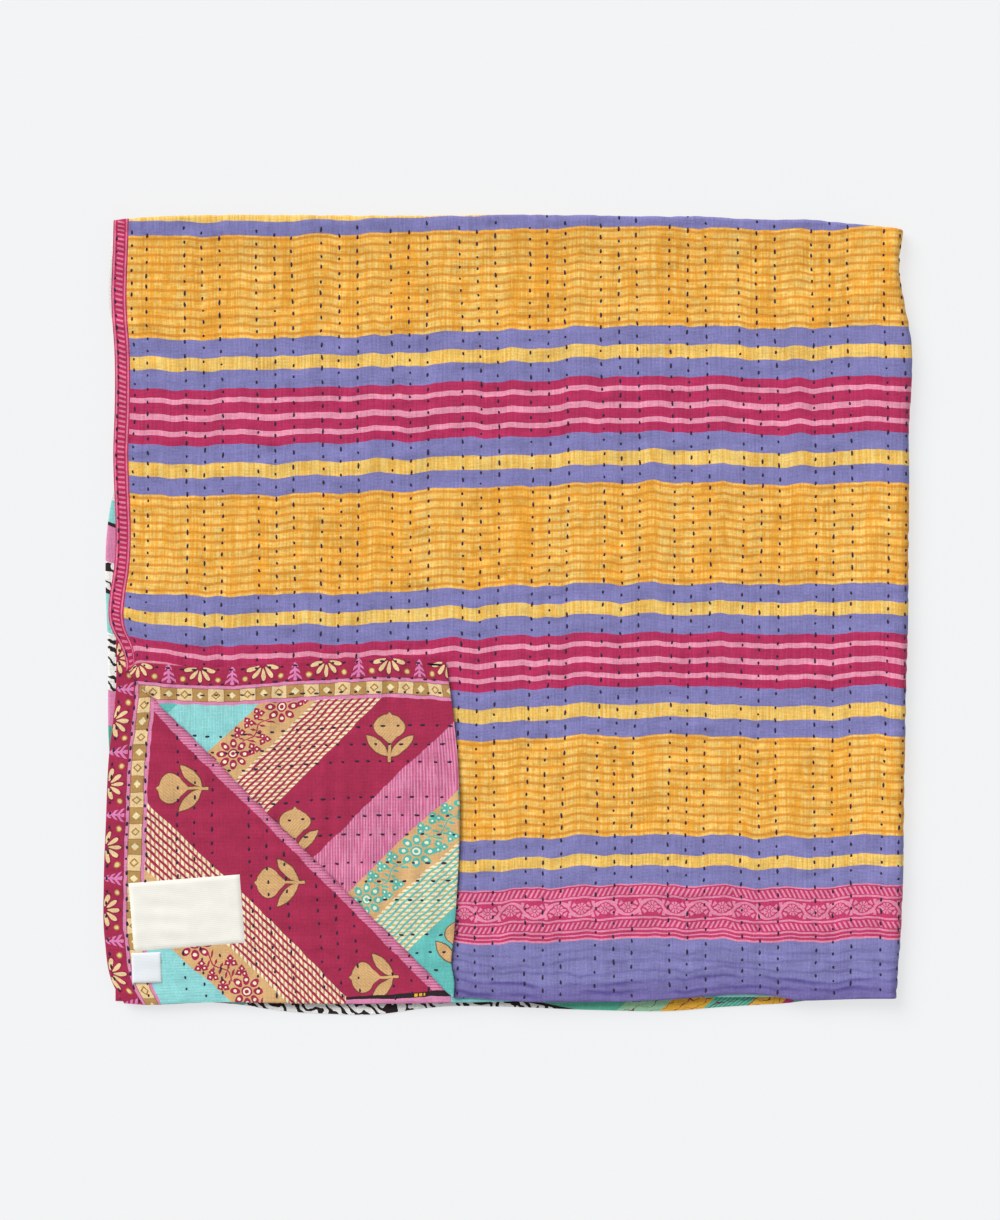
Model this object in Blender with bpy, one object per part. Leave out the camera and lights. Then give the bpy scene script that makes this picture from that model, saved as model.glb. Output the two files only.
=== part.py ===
"""A quilted throw, folded in four, with one corner of the top layer turned back.

The throw is one sheet of two cloths held together by rows of running stitches.
It is cut flat and then bent: the corner is turned up over itself, the sheet is
folded under along the top edge, and the pair of layers is folded under along
the right edge. The striped front shows on top, the printed back on the turned
corner and in the triangle that it leaves open. Two plain labels are sewn there.
"""

import math

import bmesh
import bpy
import numpy as np

MM = 0.001

# The sheet and its pile of four layers
THICKNESS = 2.0 * MM
PITCH = 4.0 * MM
SMALL_RADIUS = PITCH / 2
WIDE_RADIUS = 1.5 * PITCH

# Where the folded sheet lies, seen from above
LEFT = -375.5 * MM
NEAR = -363.9 * MM
TOP_LINE = 377.0 * MM
SIDE_LINE = 372.8 * MM
BACK_HANGS_OUT = 5.7 * MM

# The flat sheet, worked out from the fold lines
SMALL_ARC = math.pi * SMALL_RADIUS
WIDE_ARC = math.pi * WIDE_RADIUS
FOLD_U = SIDE_LINE - LEFT
FOLD_V = TOP_LINE - NEAR
WIDTH = 2 * FOLD_U + WIDE_ARC
LENGTH = 2 * FOLD_V + SMALL_ARC + BACK_HANGS_OUT

# The turned corner
CORNER = 327.8 * MM
TUCK = 18 * MM
TUCK_REACH = 18 * MM
SAG_STARTS = 100 * MM

# Quilting rows: the middle of each group of three, and the first pair by the edge
GROUPS = (86, 155, 217, 283, 349, 415, 483, 548, 613, 682, 750)
ROW_STEP = 17 * MM
EDGE_ROWS = (19 * MM, 33 * MM)
DENT = 0.32
DENT_REACH = 8 * MM

# The pile is fuller by its folds and rolls gently between them
SWELL = 0.30
SWELL_REACH = 34 * MM
ROLL = 0.05
ROLL_ACROSS = 61 * MM
ROLL_ALONG = 83 * MM

# The pile bears on a flat middle, and its rim stands a hair off the surface
BEARING_X = 230 * MM
BEARING_Y = 330 * MM
RIM_RISE = 0.4 * MM
RIM_REACH = 60 * MM

# A wandering edge draws this much cloth with it, and a folded layer lies straight
# again this far past its fold
EDGE_FADE = 50 * MM
SETTLE = 150 * MM

# How far each cut edge wanders inwards: place along the edge, offset, both in mm
LEFT_EDGE = (
    (0, 4), (50, 0), (135, 3), (235, 9), (285, 5), (328, 0), (342, 1), (352, -2), (395, -2),
    (415, 1), (540, 1), (565, 2), (625, 2), (672, -1), (735, 1), (1130, 3), (1196, 3),
    (1263, -4), (1320, -6.5), (1377, -8.5), (1434, -7.5), (1477, 1), (1497, 13),
)
NEAR_EDGE = (
    (0, 6), (31, 2), (64, -2), (108, -6), (164, -7), (221, -4.5), (269, -1), (289, 1),
    (310, -2), (330, 0), (370, -1), (540, -1), (560, 1), (607, 5), (624, 4.5), (652, 0),
    (683, -1), (750, -1), (785, -2), (842, -3), (870, -6), (908, -8), (946, -10.5),
    (974, -13), (1060, -12.5), (1145, -9.5), (1203, -9.5), (1231, -12.5), (1255, -16),
    (1316, -16), (1359, -13), (1391, -8), (1515, -4),
)
FAR_EDGE = ((0, 0), (13, -1), (100, 1), (200, -0.5), (320, 0.5), (420, 3), (1515, 6))
RIGHT_EDGE = (
    (0, 2), (187, 2), (225, -3), (320, -5), (453, -5), (491, 1), (624, 2), (662, -4),
    (695, -4), (740, 2), (850, 5), (1497, 5),
)

# How the fold lines and the stripes wander, seen from above: place, offset, in mm
TOP_WANDER = ((-377, -4), (-364, -3), (-100, 0), (87, 0.5), (182, -1.5), (325, -7.5), (376, -13))
SIDE_WANDER = (
    (-367, -9.5), (-312, -5.5), (-122, -1), (11, 2), (173, 3), (268, 4), (296, -1),
    (330, -6.5), (365, -3),
)
STRIPE_SAG = (
    (-377, 11), (-258, 12.5), (-192, 10.5), (-127, 9.5), (-62, 6), (4, 4), (71, 1),
    (138, 0), (203, 0.5), (270, 2.5), (336, 0), (376, 0),
)

# Labels on the back: middle and size in mm of the flat sheet, turn in degrees
LABEL_GAP = 0.3 * MM
LABEL_THICKNESS = 1.0 * MM
NAME_LABEL = {"middle": (70.5, 1407.6), "size": (106, 65), "turn": 4.5, "parts": (8, 5)}
CARE_LABEL = {"middle": (32.3, 1459.8), "size": (28, 29), "turn": 2.0, "parts": (3, 3)}
LABEL_PLAIN_U = 140 * MM
LABEL_PLAIN_V = 1350 * MM
UNWANDER_STEPS = 6

# Cutting the flat sheet
ACROSS = (1, 0, 0)
ALONG = (0, 1, 0)
CUT_MERGE = 0.0001 * MM
TOP_SLIDE = 55 * MM
SIDE_SLIDE = 30 * MM


def clear_scene():
    for obj in list(bpy.data.objects):
        bpy.data.objects.remove(obj, do_unlink=True)


def material(name, colour, roughness):
    mat = bpy.data.materials.new(name)
    mat.use_nodes = True
    shader = mat.node_tree.nodes["Principled BSDF"]
    shader.inputs["Base Color"].default_value = (*colour, 1.0)
    shader.inputs["Roughness"].default_value = roughness
    shader.inputs["Metallic"].default_value = 0.0
    return mat


def ease(share):
    share = np.clip(share, 0.0, 1.0)
    return share * share * (3.0 - 2.0 * share)


def wander(table, place):
    """Read a table of (place, offset) in mm along a smooth curve, in metres."""
    places, offsets = np.array(table, dtype=float).T * MM
    slopes = np.gradient(offsets, places)
    place = np.clip(place, places[0], places[-1])
    cell = np.clip(np.searchsorted(places, place) - 1, 0, len(places) - 2)
    span = places[cell + 1] - places[cell]
    t = (place - places[cell]) / span
    start = offsets[cell] * (1 + 2 * t) * (1 - t) ** 2 + offsets[cell + 1] * t * t * (3 - 2 * t)
    return start + span * t * (1 - t) * (slopes[cell] * (1 - t) - slopes[cell + 1] * t)


def bend(past, lift, radius):
    """Bend a sheet down and back under a line, once it is past that line."""
    turn = np.clip(past / radius, 0.0, math.pi)
    beyond = np.maximum(past - math.pi * radius, 0.0)
    reach = np.where(past < 0, past, (radius + lift) * np.sin(turn) - beyond)
    height = (radius + lift) * np.cos(turn) - radius
    return reach, height


def wander_edges(u, v):
    """Move the cut edges, and the cloth beside them, as unevenly as they lie."""
    by_left = ease(1 - u / EDGE_FADE) * wander(LEFT_EDGE, v)
    by_right = ease(1 - (WIDTH - u) / EDGE_FADE) * wander(RIGHT_EDGE, v)
    by_near = ease(1 - v / EDGE_FADE) * wander(NEAR_EDGE, u)
    by_far = ease(1 - (LENGTH - v) / EDGE_FADE) * wander(FAR_EDGE, u)
    return u + by_left - by_right, v + by_near - by_far


def before_wander(u, v):
    """The flat places that the wandering edges carry to u and v."""
    at_u, at_v = u, v
    for _ in range(UNWANDER_STEPS):
        moved_u, moved_v = wander_edges(at_u, at_v)
        at_u, at_v = at_u + u - moved_u, at_v + v - moved_v
    return at_u, at_v


def turn_corner(u, v, lift):
    """Turn the sheet's first corner up and back over itself at 45 degrees."""
    past = (CORNER - u - v) / math.sqrt(2)
    reach, height = bend(past, -lift, SMALL_RADIUS)
    moved = (past - reach) / math.sqrt(2)
    x, y = LEFT + u + moved, NEAR + v + moved
    away = np.hypot(x - LEFT, y - NEAR - CORNER)
    tuck = TUCK * np.exp(-((away / TUCK_REACH) ** 2)) / math.sqrt(2) * (v < FOLD_V)
    return x + tuck, y - tuck, -height


def stripe_sag(x, u, v):
    """The stripes hang a little lower on the left, away from the turned corner."""
    clear_of_corner = ease((u + v - CORNER) / SAG_STARTS)
    before_fold = ease(1 - (v - FOLD_V) / SETTLE)
    return wander(STRIPE_SAG, x) * clear_of_corner * before_fold


def folded(u, v, lift):
    """Where a point of the flat sheet lies once the throw is folded.

    u and v run over the flat sheet, and lift stands off its middle towards the front.
    """
    u, v = wander_edges(u, v)
    x, y, z = turn_corner(u, v, lift)
    y = y - stripe_sag(x, u, v)

    line = TOP_LINE + wander(TOP_WANDER, np.minimum(x, SIDE_LINE))
    past = y - line
    reach, z = bend(past, z, SMALL_RADIUS)
    straightened = 2 * (TOP_LINE - line) * ease((past - SMALL_ARC) / SETTLE)
    y = line + reach + straightened

    line = SIDE_LINE + wander(SIDE_WANDER, y)
    past = x - line
    reach, z = bend(past, z, WIDE_RADIUS)
    straightened = 2 * (SIDE_LINE - line) * ease((past - WIDE_ARC) / SETTLE)
    x = line + reach + straightened

    z = z + 2 * WIDE_RADIUS + THICKNESS / 2
    by_top = np.exp(-(((y - TOP_LINE) / SWELL_REACH) ** 2))
    by_side = np.exp(-(((x - SIDE_LINE) / SWELL_REACH) ** 2))
    rolling = ROLL * np.sin(x / ROLL_ACROSS) * np.cos(y / ROLL_ALONG)
    z = z * (1 + SWELL * np.maximum(by_top, by_side) + rolling)
    outside = np.maximum(np.abs(x) - BEARING_X, np.abs(y) - BEARING_Y)
    return x, y, z + RIM_RISE * ease(outside / RIM_REACH)


def quilting_rows():
    rows = list(EDGE_ROWS)
    for middle in GROUPS:
        rows += [middle * MM - ROW_STEP, middle * MM, middle * MM + ROW_STEP]
    return rows


def half_thickness(u, v):
    """Full between the quilting rows, dented along them, and plain where hidden."""
    rows = np.array(quilting_rows())
    nearest = np.min(np.abs(u[:, None] - rows[None, :]), axis=1)
    dent = DENT * (1 - ease(nearest / DENT_REACH))
    under_labels = (v > LABEL_PLAIN_V) & (u < LABEL_PLAIN_U)
    plain = (u > FOLD_U + WIDE_ARC) | under_labels
    return THICKNESS / 2 * (1 - np.where(plain, 0.0, dent))


def start_slab():
    bm = bmesh.new()
    bmesh.ops.create_cube(bm, size=1.0)
    return bm


def cut(bm, place, across, where=None):
    """Cut the faces whose middle is where it says along the plane through place."""
    faces = [f for f in bm.faces if where is None or where(f.calc_center_median())]
    edges = {e for f in faces for e in f.edges}
    verts = {v for f in faces for v in f.verts}
    bmesh.ops.bisect_plane(bm, geom=[*verts, *edges, *faces], dist=CUT_MERGE,
                           plane_co=place, plane_no=across)


def read_places(bm):
    return np.array([vert.co[:] for vert in bm.verts]).T


def write_places(bm, x, y, z):
    for vert, place in zip(bm.verts, zip(x, y, z)):
        vert.co = place


def finish(bm, name, mat):
    bmesh.ops.triangulate(bm, faces=bm.faces[:])
    bmesh.ops.recalc_face_normals(bm, faces=bm.faces[:])
    mesh = bpy.data.meshes.new(name)
    bm.to_mesh(mesh)
    bm.free()
    mesh.materials.append(mat)
    obj = bpy.data.objects.new(name, mesh)
    bpy.context.collection.objects.link(obj)
    return obj


def spread(start, end, parts):
    """Places that divide a stretch into equal parts, both ends left out."""
    return [start + (end - start) * step / parts for step in range(1, parts)]


def cut_for_layers(bm):
    """Even cuts over each layer, and close ones round the two long folds."""
    side_arc = [FOLD_U, *spread(FOLD_U, FOLD_U + WIDE_ARC, 6), FOLD_U + WIDE_ARC]
    for u in [*side_arc, *spread(FOLD_U + WIDE_ARC, WIDTH, 9)]:
        cut(bm, (u, 0, 0), ACROSS)
    top_arc = [FOLD_V, *spread(FOLD_V, FOLD_V + SMALL_ARC, 4), FOLD_V + SMALL_ARC]
    for v in [*spread(0, FOLD_V, 13), *top_arc, *spread(FOLD_V + SMALL_ARC, LENGTH, 8)]:
        cut(bm, (0, v, 0), ALONG)


def cut_for_quilting(bm):
    """A cut at each row's valley and at each crest between, where they show."""
    rows = [row for row in quilting_rows() if row < FOLD_U]
    crests = [(row + following) / 2 for row, following in zip(rows, rows[1:])]

    def on_top_layer(place):
        return place.x < FOLD_U and place.y < FOLD_V + 1.2 * SMALL_ARC

    def by_open_triangle(place):
        return place.x < CORNER and place.y > FOLD_V

    for u in sorted(rows + crests):
        cut(bm, (u, 0, 0), ACROSS, on_top_layer)
        if u < CORNER:
            cut(bm, (u, 0, 0), ACROSS, by_open_triangle)


def cut_for_crease(bm):
    """Close cuts round the turned corner's crease, and one on each side of it."""
    step = math.sqrt(2) * SMALL_ARC / 4

    def on_first_layer(place):
        return place.x < FOLD_U and place.y < FOLD_V

    for count in range(-1, 6):
        middle = (CORNER - count * step) / 2
        cut(bm, (middle, middle, 0), (1, 1, 0), on_first_layer)


def follow_folds(u, v):
    """Slide the cuts beside a fold along the flat sheet, onto its wandering line."""
    near_top = 1 - ease(np.abs(v - FOLD_V - SMALL_ARC / 2) / TOP_SLIDE)
    near_side = 1 - ease(np.abs(u - FOLD_U - WIDE_ARC / 2) / SIDE_SLIDE)
    x = LEFT + np.minimum(u, FOLD_U)
    y = NEAR + np.minimum(v, 2 * FOLD_V + SMALL_ARC - v)
    along = near_top * (wander(TOP_WANDER, x) + stripe_sag(x, u, v))
    across = near_side * wander(SIDE_WANDER, y)
    return u + across, v + along


def make_quilt():
    bm = start_slab()
    for vert in bm.verts:
        vert.co.x = (vert.co.x + 0.5) * WIDTH
        vert.co.y = (vert.co.y + 0.5) * LENGTH
    cut_for_layers(bm)
    cut_for_quilting(bm)
    cut_for_crease(bm)
    u, v, side = read_places(bm)
    u, v = follow_folds(u, v)
    lift = 2 * side * half_thickness(u, v)
    write_places(bm, *folded(u, v, lift))
    cloth = material("striped_printed_cotton", (0.82, 0.42, 0.06), 0.9)
    return finish(bm, "quilt", cloth)


def make_label(name, label, mat):
    """A thin tape on the back of the sheet, turned a little and not drawn by its edge."""
    bm = start_slab()
    for place in spread(-0.5, 0.5, label["parts"][0]):
        cut(bm, (place, 0, 0), ACROSS)
    for place in spread(-0.5, 0.5, label["parts"][1]):
        cut(bm, (0, place, 0), ALONG)
    across, along, side = read_places(bm)
    across, along = across * label["size"][0] * MM, along * label["size"][1] * MM
    turn = math.radians(label["turn"])
    u = label["middle"][0] * MM + across * math.cos(turn) + along * math.sin(turn)
    v = label["middle"][1] * MM - across * math.sin(turn) + along * math.cos(turn)
    lift = -(THICKNESS / 2 + LABEL_GAP + LABEL_THICKNESS * (side + 0.5))
    write_places(bm, *folded(*before_wander(u, v), lift))
    return finish(bm, name, mat)


def main():
    clear_scene()
    make_quilt()
    make_label("name_label", NAME_LABEL, material("cream_cotton_tape", (0.88, 0.86, 0.78), 0.8))
    make_label("care_label", CARE_LABEL, material("white_satin_tape", (0.80, 0.83, 0.92), 0.5))


main()
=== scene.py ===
"""A quilted throw folded in four, with one corner turned back over its printed reverse.

Two cotton cloths make the one sheet: a striped one in front, and a printed one
behind. Both are made flat, given the relief that the hand stitches pull into
them, and then folded by the same functions as the throw's solid. The stitches
and the two sewn labels go through the same folds. Patterns are painted by nodes
on the flat cloth's own places, in millimetres, kept as each mesh's UV map.
"""

import math

import bmesh
import bpy
import numpy as np
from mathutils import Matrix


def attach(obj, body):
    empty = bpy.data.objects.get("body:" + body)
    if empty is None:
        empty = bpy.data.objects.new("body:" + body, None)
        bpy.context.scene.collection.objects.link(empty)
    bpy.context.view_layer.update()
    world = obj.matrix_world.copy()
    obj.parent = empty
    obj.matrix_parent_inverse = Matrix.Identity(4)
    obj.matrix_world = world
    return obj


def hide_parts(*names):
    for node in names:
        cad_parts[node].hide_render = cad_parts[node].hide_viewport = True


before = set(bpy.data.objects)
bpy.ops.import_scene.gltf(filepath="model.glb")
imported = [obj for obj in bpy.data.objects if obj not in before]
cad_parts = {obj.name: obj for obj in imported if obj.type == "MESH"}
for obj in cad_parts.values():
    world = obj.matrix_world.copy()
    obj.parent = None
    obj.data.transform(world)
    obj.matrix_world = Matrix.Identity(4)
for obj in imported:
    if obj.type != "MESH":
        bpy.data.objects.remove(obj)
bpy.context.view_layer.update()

MM = 0.001

# The sheet and its pile of four layers, as in the solid
THICKNESS = 2.0 * MM
PITCH = 4.0 * MM
SMALL_RADIUS = PITCH / 2
WIDE_RADIUS = 1.5 * PITCH
LEFT = -375.5 * MM
NEAR = -363.9 * MM
TOP_LINE = 377.0 * MM
SIDE_LINE = 372.8 * MM
BACK_HANGS_OUT = 5.7 * MM
SMALL_ARC = math.pi * SMALL_RADIUS
WIDE_ARC = math.pi * WIDE_RADIUS
FOLD_U = SIDE_LINE - LEFT
FOLD_V = TOP_LINE - NEAR
WIDTH = 2 * FOLD_U + WIDE_ARC
LENGTH = 2 * FOLD_V + SMALL_ARC + BACK_HANGS_OUT

CORNER = 327.8 * MM
TUCK = 18 * MM
TUCK_REACH = 18 * MM
SAG_STARTS = 100 * MM
SWELL = 0.30
SWELL_REACH = 34 * MM
ROLL = 0.05
ROLL_ACROSS = 61 * MM
ROLL_ALONG = 83 * MM
BEARING_X = 230 * MM
BEARING_Y = 330 * MM
RIM_RISE = 0.4 * MM
RIM_REACH = 60 * MM
EDGE_FADE = 50 * MM
SETTLE = 150 * MM
TOP_SLIDE = 55 * MM
SIDE_SLIDE = 30 * MM

# How far each cut edge wanders inwards: place along the edge, offset, both in mm
LEFT_EDGE = (
    (0, 4), (50, 0), (135, 3), (235, 9), (285, 5), (328, 0), (342, 1), (352, -2), (395, -2),
    (415, 1), (540, 1), (565, 2), (625, 2), (672, -1), (735, 1), (1130, 3), (1196, 3),
    (1263, -4), (1320, -6.5), (1377, -8.5), (1434, -7.5), (1477, 1), (1497, 13),
)
NEAR_EDGE = (
    (0, 6), (31, 2), (64, -2), (108, -6), (164, -7), (221, -4.5), (269, -1), (289, 1),
    (310, -2), (330, 0), (370, -1), (540, -1), (560, 1), (607, 5), (624, 4.5), (652, 0),
    (683, -1), (750, -1), (785, -2), (842, -3), (870, -6), (908, -8), (946, -10.5),
    (974, -13), (1060, -12.5), (1145, -9.5), (1203, -9.5), (1231, -12.5), (1255, -16),
    (1316, -16), (1359, -13), (1391, -8), (1515, -4),
)
FAR_EDGE = ((0, 0), (13, -1), (100, 1), (200, -0.5), (320, 0.5), (420, 3), (1515, 6))
RIGHT_EDGE = (
    (0, 2), (187, 2), (225, -3), (320, -5), (453, -5), (491, 1), (624, 2), (662, -4),
    (695, -4), (740, 2), (850, 5), (1497, 5),
)

# How the fold lines and the stripes wander, seen from above: place, offset, in mm
TOP_WANDER = ((-377, -4), (-364, -3), (-100, 0), (87, 0.5), (182, -1.5), (325, -7.5), (376, -13))
SIDE_WANDER = (
    (-367, -9.5), (-312, -5.5), (-122, -1), (11, 2), (173, 3), (268, 4), (296, -1),
    (330, -6.5), (365, -3),
)
STRIPE_SAG = (
    (-377, 11), (-258, 12.5), (-192, 10.5), (-127, 9.5), (-62, 6), (4, 4), (71, 1),
    (138, 0), (203, 0.5), (270, 2.5), (336, 0), (376, 0),
)

# Quilting rows, and the running stitches in them
GROUPS = (86, 155, 217, 283, 349, 415, 483, 548, 613, 682, 750)
HIDDEN_GROUP_PITCH = 66.4 * MM
ROW_STEP = 17 * MM
EDGE_ROWS = (19 * MM, 33 * MM)
STRIP_ROW = 3.2 * MM
STITCH_PITCH = 12.0 * MM
STITCH_LENGTH = 5.4 * MM
STITCH_WIDTH = 2.25 * MM

# How far the groups lie nearer the hem on the turned corner, and stray on the layer below
FLAP_ROWS = ((86, -5.2), (155, -5), (217, -2.3), (349, -2.3))
FLAP_ROWS_ALONG = ((0, 0), (90, 0), (219, 10))
LOWER_ROWS = (
    (1050, 0), (1150, -6), (1281, -6.5), (1347, -7.5), (1385, -5), (1428, -2), (1452, 0),
    (1490, 3.5),
)

# How each group bows along its length, in mm, at these places up the sheet
SWAY_PLACES = np.array((62, 147, 218, 290, 356, 423, 494, 565, 636, 708)) * MM
SWAYS = (
    (1, 1, 1, 1, 1, 1.9, 1.9, 1.9, 0, -1),
    (0, 0, 0, 0, 0, 1.4, 0.5, 0.5, -0.5, -1.4),
    (-2, -2, -2, -2, -1.9, -1, 0.5, -0.5, -1, -1.4),
    (-1.4, -1.4, -1.4, -1.4, -1.4, 0.5, 0.5, 0.5, -0.5, -1),
    (-4.3, -3.3, -3.8, -2.9, 0, 1.4, 1.4, 1.4, 0.5, -1.9),
    (-6.2, -5.2, -3.3, -1.4, 0, 0.5, 1.9, 0.5, -1, -1.4),
    (-6.7, -5.7, -5.7, -1.9, 0, 1.4, 1.9, 0.5, -1.4, -1.9),
    (-1.4, -3.3, -1.9, -0.5, 1.9, 3.8, 3.3, 1.4, -1, -1.4),
    (2.9, 1.4, 0, 1.4, 2.9, 3.8, 4.8, 3.3, 0, -1),
    (3.3, 2.9, 1.9, 2.4, 3.3, 4.3, 4.3, 2.4, 0.5, -0.5),
    (-3.3, -2.4, 1, 2.9, 3.3, 4.8, 4.8, 4.8, 0.5, -0.5),
)

# Labels on the back: middle and size in mm of the flat sheet, turn in degrees
LABEL_GAP = 0.3 * MM
LABEL_THICKNESS = 1.0 * MM
NAME_LABEL = {"middle": (70.5, 1407.6), "size": (106, 65), "turn": 4.5}
CARE_LABEL = {"middle": (32.3, 1459.8), "size": (28, 29), "turn": 2.0}
LABEL_PLAIN_U = 140 * MM
LABEL_PLAIN_V = 1350 * MM
UNWANDER_STEPS = 6

# Colours, as sRGB
PURPLE = "#7E7BB3"
YELLOW = "#EAB44C"
IKAT = "#EEAA38"
MAGENTA = "#B42759"
PINK = "#E48DA8"
BORDER_RED = "#C33A69"
BORDER_PINK = "#E58CAA"
PRINT_RED = "#A92A4F"
ORCHID = "#DC8AB2"
RIB_PINK = "#D47598"
TURQUOISE = "#8DD5D7"
TEAL = "#66C1BA"
BEIGE = "#DBB07A"
OCHRE = "#BA9154"
PALE_GOLD = "#EBCE9A"
CREAM = "#FBEFD2"
INK = "#2C2024"
THREAD = "#261D33"


# Folding


def ease(share):
    """0 up to a share of 0, 1 from a share of 1, and smooth between them."""
    share = np.clip(share, 0.0, 1.0)
    return share * share * (3.0 - 2.0 * share)


def wander(table, place):
    """Read a table of (place, offset) in mm along a smooth curve, in metres."""
    places, offsets = np.array(table, dtype=float).T * MM
    slopes = np.gradient(offsets, places)
    place = np.clip(place, places[0], places[-1])
    cell = np.clip(np.searchsorted(places, place) - 1, 0, len(places) - 2)
    span = places[cell + 1] - places[cell]
    t = (place - places[cell]) / span
    start = offsets[cell] * (1 + 2 * t) * (1 - t) ** 2 + offsets[cell + 1] * t * t * (3 - 2 * t)
    return start + span * t * (1 - t) * (slopes[cell] * (1 - t) - slopes[cell + 1] * t)


def bend(past, lift, radius):
    """Bend a sheet down and back under a line, once it is past that line."""
    turn = np.clip(past / radius, 0.0, math.pi)
    beyond = np.maximum(past - math.pi * radius, 0.0)
    reach = np.where(past < 0, past, (radius + lift) * np.sin(turn) - beyond)
    height = (radius + lift) * np.cos(turn) - radius
    return reach, height


def wander_edges(u, v):
    """Move the cut edges, and the cloth beside them, as unevenly as they lie."""
    by_left = ease(1 - u / EDGE_FADE) * wander(LEFT_EDGE, v)
    by_right = ease(1 - (WIDTH - u) / EDGE_FADE) * wander(RIGHT_EDGE, v)
    by_near = ease(1 - v / EDGE_FADE) * wander(NEAR_EDGE, u)
    by_far = ease(1 - (LENGTH - v) / EDGE_FADE) * wander(FAR_EDGE, u)
    return u + by_left - by_right, v + by_near - by_far


def before_wander(u, v):
    """The flat places that the wandering edges carry to u and v."""
    at_u, at_v = u, v
    for _ in range(UNWANDER_STEPS):
        moved_u, moved_v = wander_edges(at_u, at_v)
        at_u, at_v = at_u + u - moved_u, at_v + v - moved_v
    return at_u, at_v


def turn_corner(u, v, lift):
    """Turn the sheet's first corner up and back over itself at 45 degrees."""
    past = (CORNER - u - v) / math.sqrt(2)
    reach, height = bend(past, -lift, SMALL_RADIUS)
    moved = (past - reach) / math.sqrt(2)
    x, y = LEFT + u + moved, NEAR + v + moved
    away = np.hypot(x - LEFT, y - NEAR - CORNER)
    tuck = TUCK * np.exp(-((away / TUCK_REACH) ** 2)) / math.sqrt(2) * (v < FOLD_V)
    return x + tuck, y - tuck, -height


def stripe_sag(x, u, v):
    """The stripes hang a little lower on the left, away from the turned corner."""
    clear_of_corner = ease((u + v - CORNER) / SAG_STARTS)
    before_fold = ease(1 - (v - FOLD_V) / SETTLE)
    return wander(STRIPE_SAG, x) * clear_of_corner * before_fold


def folded(u, v, lift):
    """Where a point of the flat sheet lies once the throw is folded.

    u and v run over the flat sheet, and lift stands off its middle towards the front.
    """
    u, v = wander_edges(u, v)
    x, y, z = turn_corner(u, v, lift)
    y = y - stripe_sag(x, u, v)

    line = TOP_LINE + wander(TOP_WANDER, np.minimum(x, SIDE_LINE))
    past = y - line
    reach, z = bend(past, z, SMALL_RADIUS)
    straightened = 2 * (TOP_LINE - line) * ease((past - SMALL_ARC) / SETTLE)
    y = line + reach + straightened

    line = SIDE_LINE + wander(SIDE_WANDER, y)
    past = x - line
    reach, z = bend(past, z, WIDE_RADIUS)
    straightened = 2 * (SIDE_LINE - line) * ease((past - WIDE_ARC) / SETTLE)
    x = line + reach + straightened

    z = z + 2 * WIDE_RADIUS + THICKNESS / 2
    by_top = np.exp(-(((y - TOP_LINE) / SWELL_REACH) ** 2))
    by_side = np.exp(-(((x - SIDE_LINE) / SWELL_REACH) ** 2))
    rolling = ROLL * np.sin(x / ROLL_ACROSS) * np.cos(y / ROLL_ALONG)
    z = z * (1 + SWELL * np.maximum(by_top, by_side) + rolling)
    outside = np.maximum(np.abs(x) - BEARING_X, np.abs(y) - BEARING_Y)
    return x, y, z + RIM_RISE * ease(outside / RIM_REACH)


def follow_folds(u, v):
    """Slide the lines beside a fold along the flat sheet, onto its wandering line."""
    near_top = 1 - ease(np.abs(v - FOLD_V - SMALL_ARC / 2) / TOP_SLIDE)
    near_side = 1 - ease(np.abs(u - FOLD_U - WIDE_ARC / 2) / SIDE_SLIDE)
    x = LEFT + np.minimum(u, FOLD_U)
    y = NEAR + np.minimum(v, 2 * FOLD_V + SMALL_ARC - v)
    along = near_top * (wander(TOP_WANDER, x) + stripe_sag(x, u, v))
    across = near_side * wander(SIDE_WANDER, y)
    return u + across, v + along


# Relief of the quilted cloth

HEM_ROUND = 2.2 * MM
ROW_DENT = 0.75 * MM
ROW_REACH = 4.6 * MM
GATHER = 0.62 * MM
PUFF = 0.5 * MM
PUFF_WAVES = (80 * MM, 70 * MM)
GATHER_WAVES = (60 * MM, 15 * MM)
GATHER_REACH = 11 * MM
RELIEF_SEEDS = {1: 11, -1: 23}
LEAST_LIFT = 0.15 * MM
ROW_STRAY = 0.45 * MM
STITCH_SHIFT = 0.37

# Creases along the hem: middle and depth, and how they sway
HEM_CREASES = ((18 * MM, 0.9 * MM), (8 * MM, 0.7 * MM))
CREASE_WIDTH = 1.5 * MM
CREASE_SWAY = 1.6 * MM
CREASE_SWAY_ALONG = 37 * MM
CREASE_DRIFT = 1.1 * MM
CREASE_DRIFT_ALONG = 83 * MM


def quilting_rows():
    """Each row's place across the sheet, the seen ones first."""
    rows = [STRIP_ROW, *EDGE_ROWS]
    for middle in GROUPS:
        rows += [middle * MM - ROW_STEP, middle * MM, middle * MM + ROW_STEP]
    middle = GROUPS[-1] * MM + HIDDEN_GROUP_PITCH
    while middle + ROW_STEP < WIDTH - 10 * MM:
        rows += [middle - ROW_STEP, middle, middle + ROW_STEP]
        middle += HIDDEN_GROUP_PITCH
    return np.array(rows)


ROWS = quilting_rows()


def row_sways():
    """The bow of every row, as a table over the places it is given at, in metres."""
    table = np.zeros((len(ROWS), len(SWAY_PLACES)))
    first = 1 + len(EDGE_ROWS)
    for group, sway in enumerate(SWAYS):
        table[first + 3 * group:first + 3 * group + 3] = np.array(sway) * MM
    return table


ROW_SWAYS = row_sways()


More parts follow.
